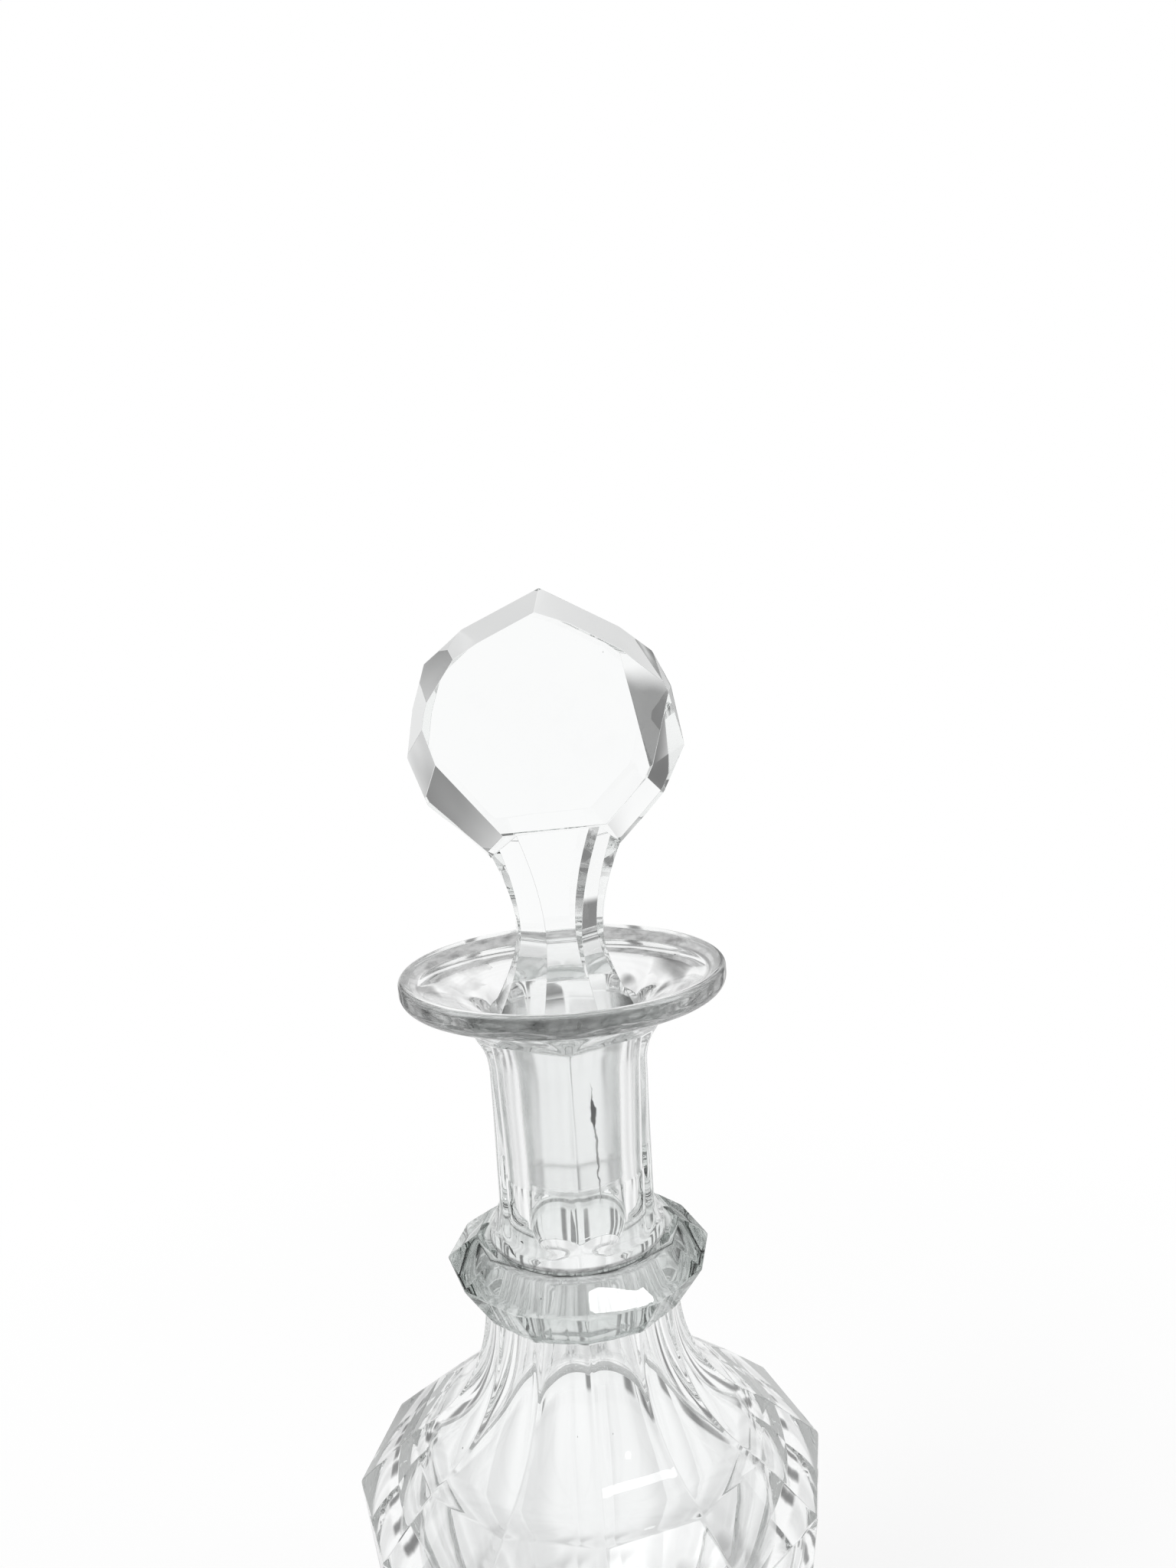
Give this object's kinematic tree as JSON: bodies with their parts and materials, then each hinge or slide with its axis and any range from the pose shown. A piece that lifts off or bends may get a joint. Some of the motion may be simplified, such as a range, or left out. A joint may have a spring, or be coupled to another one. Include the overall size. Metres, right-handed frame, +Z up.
{
  "type": "stoppered decanter",
  "caption": "Clear cut-glass decanter with a tapering panelled body, faceted neck ring, wide flared lip and a lift-out stopper with a bevelled disc finial.",
  "frame": {"origin": "centre of the flat foot that the decanter stands on", "axes": "+Z up along the axis of the bottle and the stopper; the flat front of the stopper's disc faces about -Y"},
  "size_m": [0.1032, 0.1032, 0.2922],
  "materials": {
    "bottle_glass": "clear, polished, cut in flat panels",
    "ring_glass": "clear, polished, cut in small facets",
    "stopper_glass": "clear, polished, with a finely ground plug"
  },
  "bodies": {
    "bottle": {"bottle": "bottle_glass", "neck_ring": "ring_glass"},
    "stopper": {"stopper": "stopper_glass"}
  },
  "joints": [
    {"name": "stopper_lift", "type": "slide", "parent": "bottle", "child": "stopper", "axis": [0, 0, 1], "range_m": [0, 0.06]}
  ]
}
